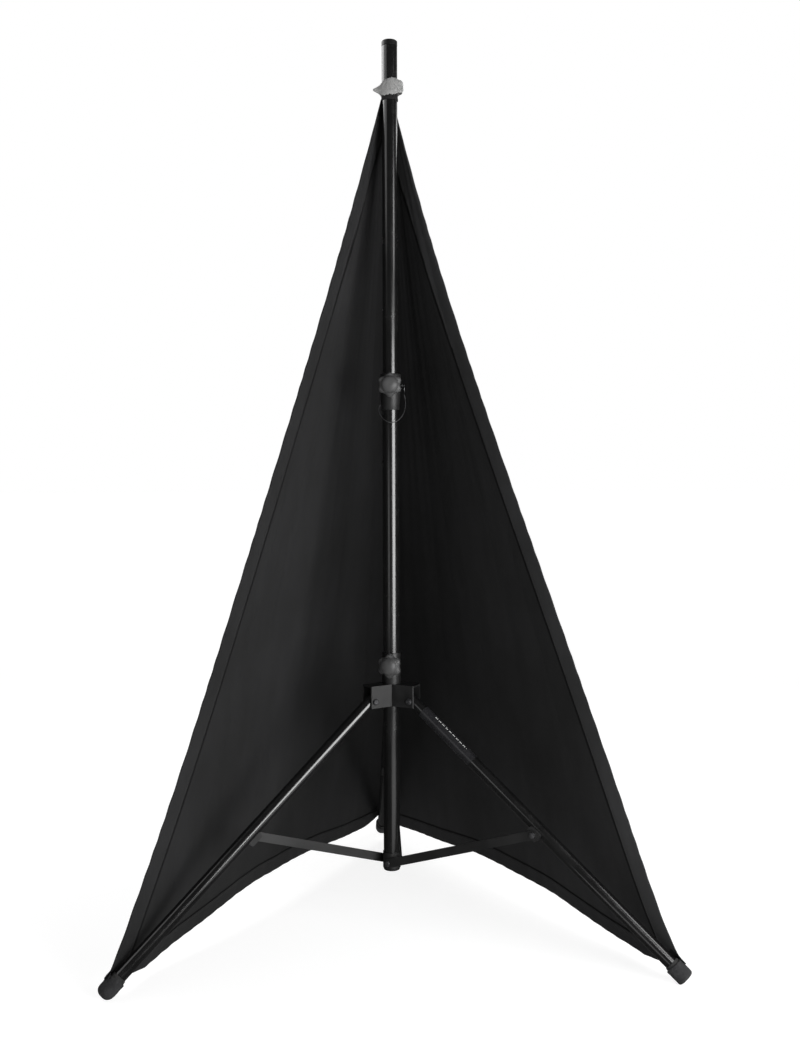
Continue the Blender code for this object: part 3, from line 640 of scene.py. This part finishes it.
def film_uv(v):
    p = back_to_leg @ v.co
    facing = math.atan2(p.x, p.y) + FILM_FACING
    facing = (facing + math.pi) % (2.0 * math.pi) - math.pi
    return facing * LEG_R, p.z - FILM_START


metre_uv(film, "cloth", film_uv)

# ---------------------------------------------------------------- cover
COVER_Z = 1.9095
COVER_R = 0.0192
CORNER_R = 0.6955
TOP_AZ = {"left": 212.0, "right": 128.0}
HEM_FRONT = 0.002
HEM_BACK = 0.038
HEM_RISE = 0.046
# pull of the front edge: least share, growth towards the pole, power of that growth, limit near the foot
EDGE_PULL = {"left": (0.045, 0.130, 2.8, 0.180), "right": (0.022, 0.260, 2.6, 0.300)}
GORES = 6
SIDES = {"left": 1.0, "right": -1.0}


def front_pull(side, v):
    """How far the front edge is drawn in at height v, as a share of the panel's width."""
    still, slope, power, at_foot = EDGE_PULL[side]
    held = at_foot * (1.0 - v)
    if held <= 1e-9:
        return 0.0
    return ((still + slope * (1.0 - v) ** power) ** -4 + held**-4) ** -0.25


def cover_point(side, u, v):
    """Panel surface: u = 0 at the front edge and 1 at the back ridge, v = 0 at the pole and 1 at the hem."""
    mirror = SIDES[side]
    u = min(1.0, max(0.0, u))
    w = u + front_pull(side, v) * (1.0 - u) ** 2
    az = math.radians(TOP_AZ[side] + (90.6 - TOP_AZ[side]) * w)
    top = Vector((mirror * COVER_R * math.cos(az), COVER_R * math.sin(az), COVER_Z))
    front = radial(210.0) * CORNER_R
    front.x *= mirror
    back = radial(90.0) * CORNER_R
    back.x = -mirror * 0.0003
    low = front.lerp(back, w)
    low.z = HEM_FRONT + (HEM_BACK - HEM_FRONT) * w + HEM_RISE * max(0.0, math.sin(math.pi * w)) ** 1.5
    return AXIS + top.lerp(low, v)


def relief(side, u, v, edge, foot):
    """Height of the cloth along its normal: long tension folds from the corners and a slight billow."""
    seed = 3.0 if side == "left" else 11.0
    a = noise.noise(Vector((u * 7.0 + seed, v * 1.3, 0.3))) * 0.0032
    a += noise.noise(Vector((u * 24.0 + seed, v * 2.4, 4.1))) * 0.0011
    a += noise.noise(Vector((u * 60.0 + seed, v * 4.0, 8.7))) * 0.0004
    rays = math.sin(26.0 * u + 3.0 * v + seed) * 0.0016 * math.exp(-foot / 0.35)
    pucker = math.sin(v * 210.0 + 2.0 * math.sin(v * 37.0)) * 0.0006 * math.exp(-edge / 0.030)
    gather = math.sin(u * 190.0) * 0.0005 * math.exp(-foot / 0.030)
    fade = min(1.0, v * 8.0) * min(1.0, (1.0 - u) * 14.0 + 0.05) * min(1.0, u * 30.0 + 0.35)
    return (a + rays) * fade + (pucker + gather) * min(1.0, v * 8.0)


POCKET_R = 0.0194
FOOT_TO = {name: leg_frame(az) for name, az in LEG_AZ.items()}
LEG_AXIS = {
    name: (m @ Vector((0.0, 0.0, 0.770)), m @ Vector((0.0, 0.0, FOOT_C))) for name, m in FOOT_TO.items()
}


def round_feet(p, clear):
    """Cloth that would pass through a foot pocket lies on the outside of it instead."""
    for a, b in LEG_AXIS.values():
        if (p - b).length > 0.14:
            continue
        along = b - a
        t = min(1.0, max(0.0, (p - a).dot(along) / along.length_squared))
        near = a + along * t
        off = p - near
        d = max(1e-5, off.length)
        p = near + off * ((d**6 + clear**6) ** (1.0 / 6.0) / d)
    p.z = max(p.z, 0.0012)
    return p


def cloth_frame(side, u, v, lift=0.0):
    """Middle of the cloth at (u, v), its inward normal, and its distances to the front edge and the hem."""
    p = cover_point(side, u, v)
    e = 1e-3
    du = cover_point(side, u + e, v) - cover_point(side, u - e, v)
    dv = cover_point(side, u, v + e) - cover_point(side, u, v - e)
    n = du.cross(dv).normalized()
    if n.dot(AXIS + UP * p.z - p) < 0.0:
        n = -n
    edge = (p - cover_point(side, 0.0, v)).length
    foot = (cover_point(side, u, 1.0) - p).length
    p = p + n * (relief(side, u, v, edge, foot) + lift)
    return round_feet(p, POCKET_R + 0.0012 + lift), n, edge, foot


def shell(bm, grid, keep):
    """Closed sheet from a grid of (middle, normal, half thickness, uv pairs)."""
    front = []
    rear = []
    for line in grid:
        front.append([bm.verts.new(p + n * h) for p, n, h, _ in line])
        rear.append([bm.verts.new(p - n * h) for p, n, h, _ in line])
        for side in (front[-1], rear[-1]):
            for vert, cell in zip(side, line):
                keep[vert] = cell[3]
    rows = len(grid) - 1
    cols = len(grid[0]) - 1
    for r in range(rows):
        for c in range(cols):
            bm.faces.new((front[r][c], front[r][c + 1], front[r + 1][c + 1], front[r + 1][c]))
            bm.faces.new((rear[r][c], rear[r + 1][c], rear[r + 1][c + 1], rear[r][c + 1]))
    for r in range(rows):
        for c in (0, cols):
            bm.faces.new((front[r][c], front[r + 1][c], rear[r + 1][c], rear[r][c]))
    for c in range(cols):
        for r in (0, rows):
            bm.faces.new((front[r][c], rear[r][c], rear[r][c + 1], front[r][c + 1]))


V_TOP = 0.0015
SIDE_HEM_TOP = 0.02
CLOTH_HALF = 0.0004
SIDE_HEM = 0.050
FOOT_HEM = 0.037


def hem_limit(side, v):
    """Share of the panel's width that the doubled side hem covers at height v."""
    width = (cover_point(side, 1.0, v) - cover_point(side, 0.0, v)).length
    guess = min(1.0, SIDE_HEM / max(1e-4, width))
    for _ in range(4):
        real = (cover_point(side, guess, v) - cover_point(side, 0.0, v)).length
        guess = min(1.0, guess * SIDE_HEM / max(1e-4, real))
    return guess


def corner_end(u):
    """The cloth's corners end on the pocket, so they stop a little before the hem line."""
    return 1.0 - 0.016 * max(0.0, 1.0 - u * 9.0) - 0.010 * max(0.0, 1.0 - (1.0 - u) * 12.0)


def cloth_uv_pairs(u, v, edge, foot):
    """UVs 'cloth' and 'hem' of a point of the cover."""
    return (u * 1.2 * v, v * 1.95), (edge, foot)


def gore_piece(side, index):
    """One gore of the cover: the cloth, its folded bottom hem and its share of the folded side hem."""
    u0 = index / GORES
    u1 = (index + 1) / GORES
    cols = 16
    rows = 170
    bm = bmesh.new()
    keep = {}
    grid = []
    for r in range(rows + 1):
        line = []
        for c in range(cols + 1):
            u = u0 + (u1 - u0) * c / cols
            v = V_TOP + (corner_end(u) - V_TOP) * r / rows
            p, n, edge, foot = cloth_frame(side, u, v)
            line.append((p, n, CLOTH_HALF, cloth_uv_pairs(u, v, edge, foot)))
        grid.append(line)
    shell(bm, grid, keep)
    area = sum(f.calc_area() for f in bm.faces) / 2.0
    # bottom hem, folded up on the inside
    grid = []
    steps = 7
    for r in range(steps + 1):
        line = []
        for c in range(cols * 2 + 1):
            u = u0 + (u1 - u0) * c / (cols * 2)
            length = (cover_point(side, u, 1.0) - cover_point(side, u, 0.0)).length
            v = corner_end(u) - (FOOT_HEM / length) * (1.0 - r / steps)
            rise = 0.0010 + (0.0005 if r in (1, 2) else 0.0)
            p, n, edge, foot = cloth_frame(side, u, min(v, 0.99995), rise)
            half = 0.00022 if r == 0 else CLOTH_HALF
            line.append((p, n, half, cloth_uv_pairs(u, v, edge, foot)))
        grid.append(line)
    shell(bm, grid, keep)
    tail = len(bm.faces)
    # side hem, folded over on the inside along the front edge
    grid = []
    for r in range(rows * 2 + 1):
        v = SIDE_HEM_TOP + (corner_end(0.0) - 0.0005 - SIDE_HEM_TOP) * r / (rows * 2)
        limit = min(u1, hem_limit(side, v))
        if limit - u0 < 0.004:
            continue
        line = []
        for c in range(7):
            u = u0 + (limit - u0) * c / 6
            rise = 0.0014 + (0.0006 if c in (4, 5) and limit < u1 else 0.0)
            p, n, edge, foot = cloth_frame(side, u, v, rise)
            half = 0.00025 if c == 6 and limit < u1 else 0.0005
            line.append((p, n, half, cloth_uv_pairs(u, v, edge, foot)))
        grid.append(line)
    if len(grid) > 3:
        shell(bm, grid, keep)
    uvs = by_index(bm, keep)
    ob = new_object(f"cloth_{side}_{index + 1}", bm, KNIT, 60.0)
    ob.data.materials.append(HEM_BAND[side])
    for poly in ob.data.polygons:
        if poly.index >= tail:
            poly.material_index = 1
    metre_uv(ob, "cloth", lambda v: uvs[v.index][0])
    metre_uv(ob, "hem", lambda v: uvs[v.index][1])
    node = f"cover_{side}_{index + 1}"
    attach(ob, node)
    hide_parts(node)
    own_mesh(ob)
    width = (cover_point(side, u1, 1.0) - cover_point(side, u0, 1.0)).length
    length = (cover_point(side, u0, 1.0) - cover_point(side, u0, 0.0)).length
    return ob


for side_name in SIDES:
    for index in range(GORES):
        gore_piece(side_name, index)

# ---------------------------------------------------------------- feet and their pockets
FOOT_S0 = 0.780
FOOT_R = 0.0162
POCKET_IN = 0.0172
POCKET_S0 = 0.786
POCKET_FLOOR = 0.0024
SOLE_Z = 0.0001
SKIN_R = POCKET_R - 0.0004
# squareness of each pocket's end, depth of the notch in its rim, and how far its end reaches
ROUNDNESS = {"left": 2.5, "right": 4.2, "back": 3.0}
NOTCH = {"left": 0.011, "right": 0.0, "back": 0.004}
REACH = {"left": 1.0, "right": 0.62, "back": 1.0}


def end_point(t, r, power):
    """Quarter of a rounded square from the side (t = 0) to the tip (t = 1)."""
    a = math.pi / 2 * t
    return (
        r * max(0.0, math.cos(a)) ** (2.0 / power),
        r * math.sin(a) ** (2.0 / power) if t > 0.0 else 0.0,
    )


def rubber_foot(label, az):
    """Ribbed rubber sleeve with a closed end, inside the pocket."""
    to_world = leg_frame(az)
    reach = REACH[label]
    ribs = []
    for k in range(60):
        z = FOOT_S0 + 0.001 + (FOOT_C - FOOT_S0 - 0.001) * k / 60
        groove = 0.0007 * max(0.0, math.sin((z - FOOT_S0) * 2.0 * math.pi / 0.0072)) ** 3
        ribs.append((FOOT_R - groove, z))
    end = [end_point(k / 14, FOOT_R, 2.0) for k in range(14)]
    profile = [(LEG_R + 0.0003, FOOT_S0 + 0.0006), (LEG_R + 0.0009, FOOT_S0), (FOOT_R - 0.0008, FOOT_S0)]
    profile += ribs + [(r, FOOT_C + z * reach) for r, z in end] + [(0.0, FOOT_C + FOOT_R * reach)]
    profile += [(0.0, LEG_END + 0.0006), (LEG_R + 0.0003, LEG_END + 0.0006)]
    ob = lathe("foot_" + label + "_skin", profile, Matrix.Identity(4), RUBBER, 72)
    for v in ob.data.vertices:
        p = to_world @ v.co
        p.z = max(p.z, POCKET_FLOOR + 0.0012)
        v.co = p
    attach(ob, body_of("foot_" + label))
    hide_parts("foot_" + label)


def pocket_piece(label, az):
    """Sewn cup over the foot: rolled rim, a notch in the rim, creases and a flattened sole."""
    to_world = leg_frame(az)
    seg = 120
    power = ROUNDNESS[label]
    reach = REACH[label]
    facing = math.radians(160.0)
    bm = bmesh.new()
    uv_of = {}

    def ring(r, s_at, outside):
        """Ring of radius r; only the outside is creased, and each side has its own lowest height."""
        line = []
        for i in range(seg):
            a = 2.0 * math.pi * i / seg
            s = s_at(a)
            p = Vector((r * math.cos(a), r * math.sin(a), s))
            if outside:
                wide = Vector((math.cos(a) * 2.2, math.sin(a) * 2.2, s * 60.0 + len(label)))
                fine = Vector((math.cos(a) * 5.0, math.sin(a) * 5.0, s * 160.0))
                crease = noise.noise(wide) * 0.0008 + noise.noise(fine) * 0.0003
                p.x += math.cos(a) * crease
                p.y += math.sin(a) * crease
            w = to_world @ p
            w.z = max(w.z, SOLE_Z if outside else POCKET_FLOOR)
            v = bm.verts.new(w)
            uv_of[v] = (a * 0.019, s)
            line.append(v)
        return line

    def tip(length, lowest):
        w = to_world @ Vector((0.0, 0.0, FOOT_C + length * reach))
        w.z = max(w.z, lowest)
        v = bm.verts.new(w)
        uv_of[v] = (0.0, FOOT_C)
        return [v]

    def rim_s(a, t):
        gap = (a - facing + math.pi) % (2.0 * math.pi) - math.pi
        top = POCKET_S0 + NOTCH[label] * math.exp(-((gap / 0.34) ** 2)) + 0.0012 * math.sin(2.0 * a + 0.7)
        return top + (FOOT_C - top) * t

    rings = []
    for k in range(26):
        t = k / 25.0
        below_rim = t * (FOOT_C - POCKET_S0)
        hem = 0.0004 if below_rim < 0.0075 else 0.0
        seam = -0.0003 if 0.0075 <= below_rim < 0.0090 else 0.0
        rolled = 0.0007 if k == 0 else 0.0
        rings.append(ring(SKIN_R + hem + seam - rolled, lambda a, t=t: rim_s(a, t), True))
    for k in range(1, 18):
        r, z = end_point(k / 18.0, SKIN_R, power)
        rings.append(ring(r, lambda a, z=z: FOOT_C + z * reach, True))
    rings.append(tip(SKIN_R, SOLE_Z))
    rings.append(tip(POCKET_IN, POCKET_FLOOR))
    for k in range(11, 0, -1):
        r, z = end_point(k / 12.0, POCKET_IN, max(2.0, power - 0.6))
        rings.append(ring(r, lambda a, z=z: FOOT_C + z * reach, False))
    for t in (1.0, 0.6, 0.25, 0.03):
        rings.append(ring(POCKET_IN, lambda a, t=t: rim_s(a, t), False))
    rings.append(rings[0])
    for one, two in zip(rings[:-1], rings[1:]):
        if len(one) == 1 and len(two) == 1:
            continue
        for i in range(seg):
            j = (i + 1) % seg
            if len(one) == 1:
                bm.faces.new((one[0], two[i], two[j]))
            elif len(two) == 1:
                bm.faces.new((one[i], two[0], one[j]))
            else:
                bm.faces.new((one[i], two[i], two[j], one[j]))
    uvs = by_index(bm, uv_of)
    ob = new_object("foot_pocket_" + label + "_skin", bm, POCKET, 55.0)
    metre_uv(ob, "cloth", lambda v: uvs[v.index])
    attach(ob, body_of("foot_pocket_" + label))
    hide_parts("foot_pocket_" + label)


for label, az in LEG_AZ.items():
    rubber_foot(label, az)
    pocket_piece(label, az)

# ---------------------------------------------------------------- closure band and the neck of the cover
STRAP_Z = 1.9325
STRAP_T = 0.0030
STRAP_BULGE = 0.0100
STRAP_TAIL = 0.0165
PILE_FIBRES = 5200


def strap_section(a):
    """Inner radius, outer radius, tail, centre height and half height of the band at angle a from +X."""
    right = (a + math.pi) % (2.0 * math.pi) - math.pi
    left = math.pi - abs(right)
    inside = R_INNER + 0.0003 + STRAP_BULGE * math.exp(-((right / 0.60) ** 2))
    tail = STRAP_TAIL * (0.6 * math.exp(-((left / 0.24) ** 2)) + 0.4 * math.exp(-((left / 0.60) ** 2)))
    return inside, inside + STRAP_T, tail, STRAP_Z + 0.0030 * math.cos(a), 0.0118 + 0.0070 * abs(math.sin(a))


def strap_piece():
    """Thick soft band with a pointed tail on its left and short loop fibres all over its outside."""
    bm = bmesh.new()
    loops = []
    seg = 260
    across = 18
    skin_points = []
    for k in range(seg):
        a = 2.0 * math.pi * k / seg
        inside, outside, tail, centre, half = strap_section(a)
        half += 0.0006 * math.sin(5.0 * a + 1.0) + 0.0004 * math.sin(13.0 * a)
        loop = []
        for m in range(across + 1):
            t = -1.0 + 2.0 * m / across
            edge = 0.0022 * abs(t) ** 5
            puff = noise.noise(Vector((math.cos(a) * 5.0, math.sin(a) * 5.0, t * 2.5))) * 0.0007
            puff += noise.noise(Vector((math.cos(a) * 18.0, math.sin(a) * 18.0, t * 9.0))) * 0.0004
            r = outside - edge + puff + tail * max(0.0, 1.0 - t * t) ** 1.3
            z = centre + half * t * (1.0 - 0.30 * tail / STRAP_TAIL)
            p = AXIS + radial(math.degrees(a)) * r + UP * z
            loop.append(bm.verts.new(p))
            if m not in (0, across):
                skin_points.append((p, radial(math.degrees(a))))
        for m in range(across, -1, -3):
            t = -1.0 + 2.0 * m / across
            p = AXIS + radial(math.degrees(a)) * (inside + 0.0004 * t * t) + UP * (centre + half * t * 0.985)
            loop.append(bm.verts.new(p))
        loops.append(loop)
    count = len(loops[0])
    for k in range(seg):
        one, two = loops[k], loops[(k + 1) % seg]
        for m in range(count):
            n = (m + 1) % count
            bm.faces.new((one[m], one[n], two[n], two[m]))
    pile = random.Random(41)
    for _ in range(PILE_FIBRES):
        p, out = skin_points[pile.randrange(len(skin_points))]
        p = p + UP * pile.uniform(-0.0008, 0.0008) + out.cross(UP) * pile.uniform(-0.0003, 0.0003)
        p = p - out * 0.0002
        lean = Vector((pile.uniform(-1, 1), pile.uniform(-1, 1), pile.uniform(-1, 1)))
        way = (out + lean * 0.9).normalized()
        size = pile.uniform(0.0006, 0.0019)
        bend = p + way * size * 0.6
        tip = bend + (way + lean * 0.8).normalized() * size * 0.5
        s1 = way.orthogonal().normalized() * 0.00008
        s2 = way.cross(s1).normalized() * 0.00008
        base = [bm.verts.new(p + s1), bm.verts.new(p - s1 * 0.5 + s2), bm.verts.new(p - s1 * 0.5 - s2)]
        mid = [bm.verts.new(v.co - p + bend) for v in base]
        end = bm.verts.new(tip)
        bm.faces.new((base[2], base[1], base[0]))
        for i in range(3):
            j = (i + 1) % 3
            bm.faces.new((base[i], base[j], mid[j], mid[i]))
            bm.faces.new((mid[i], mid[j], end))
    ob = new_object("cover_strap_skin", bm, STRAP, 60.0)
    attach(ob, body_of("cover_strap"))
    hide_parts("cover_strap")


strap_piece()


def neck_piece():
    """Gathered top of the cover, drawn in round the pole below the band."""
    low = COVER_Z - 0.0050
    high = STRAP_Z - 0.0118
    profile = [(R_INNER + 0.0003, low + 0.0006)]
    for k in range(15):
        t = k / 14.0
        r = R_INNER + 0.0014 - 0.0004 * t + 0.0003 * math.exp(-((t - 0.15) / 0.16) ** 2)
        profile.append((r, low + (high - low) * t))
    profile.append((R_INNER + 0.0003, high))

    def folds(a, z, r):
        if r < R_INNER + 0.0006:
            return 0.0
        fade = (z - low) / (high - low)
        return 0.00035 * math.sin(13.0 * a + 5.0 * fade) * (1.0 - 0.5 * fade) + 0.00015 * math.sin(31.0 * a)

    ob = lathe("cover_neck_skin", profile, WORLD, KNIT, 220, folds)

    def neck_uv(v):
        p = v.co - AXIS
        return math.atan2(p.y, p.x) * 0.0185, p.z

    metre_uv(ob, "cloth", neck_uv)
    metre_uv(ob, "hem", lambda v: (0.5, 0.5))
    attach(ob, body_of("cover_neck"))
    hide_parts("cover_neck")


neck_piece()

# ---------------------------------------------------------------- tether wire
TETHER_Z = 1.191
CLAMP_R0 = 0.0208
CLAMP_R1 = 0.0240
RING_DROP = 0.0085
RING_REACH = 0.0105 + 0.0011 + 0.0013
PIN_AT = AXIS + UP * 1.261


def bezier(points, t):
    """Point at t on the Bezier curve of any number of control points."""
    work = [p.copy() for p in points]
    while len(work) > 1:
        work = [a.lerp(b, t) for a, b in zip(work[:-1], work[1:])]
    return work[0]


def tether_piece():
    """Coated wire from the pin's ring round the front of the clamp to its far side."""
    start = PIN_AT - UP * (RING_DROP + RING_REACH) + radial(358.0) * (CLAMP_R1 + 0.0078)
    end = AXIS + radial(190.0) * (CLAMP_R0 + 0.0026) + UP * (TETHER_Z + 0.024)
    control = [
        start,
        start + Vector((0.004, -0.002, -0.020)),
        AXIS + Vector((0.044, -0.020, TETHER_Z - 0.001)),
        AXIS + Vector((0.006, -0.052, TETHER_Z - 0.051)),
        AXIS + Vector((-0.022, -0.046, TETHER_Z - 0.021)),
        end + Vector((-0.014, -0.014, -0.010)),
        end,
    ]
    count = 160
    path = [bezier(control, i / count) for i in range(count + 1)]
    bm = bmesh.new()
    rings = []
    uv_of = {}
    run = 0.0
    side = None
    for i, p in enumerate(path):
        ahead = (path[min(count, i + 1)] - path[max(0, i - 1)]).normalized()
        side = ahead.orthogonal() if side is None else side - ahead * side.dot(ahead)
        side = side.normalized()
        other = ahead.cross(side)
        run += (p - path[i - 1]).length if i else 0.0
        # crimped sleeve at each end of the wire
        fat = 0.0013 if 0.004 < run < 0.011 or i > count - 8 else 0.0
        line = []
        for k in range(12):
            a = 2.0 * math.pi * k / 12
            r = 0.00075 + fat * 0.45
            v = bm.verts.new(p + (side * math.cos(a) + other * math.sin(a)) * r)
            uv_of[v] = (k / 12.0, run)
            line.append(v)
        rings.append(line)
    for one, two in zip(rings[:-1], rings[1:]):
        for k in range(12):
            j = (k + 1) % 12
            bm.faces.new((one[k], one[j], two[j], two[k]))
    bm.faces.new(rings[0][::-1])
    bm.faces.new(rings[-1])
    uvs = by_index(bm, uv_of)
    ob = new_object("tether_wire", bm, WIRE, 50.0)
    metre_uv(ob, "cloth", lambda v: uvs[v.index])
    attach(ob, body_of("tether"))
    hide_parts("tether")


tether_piece()
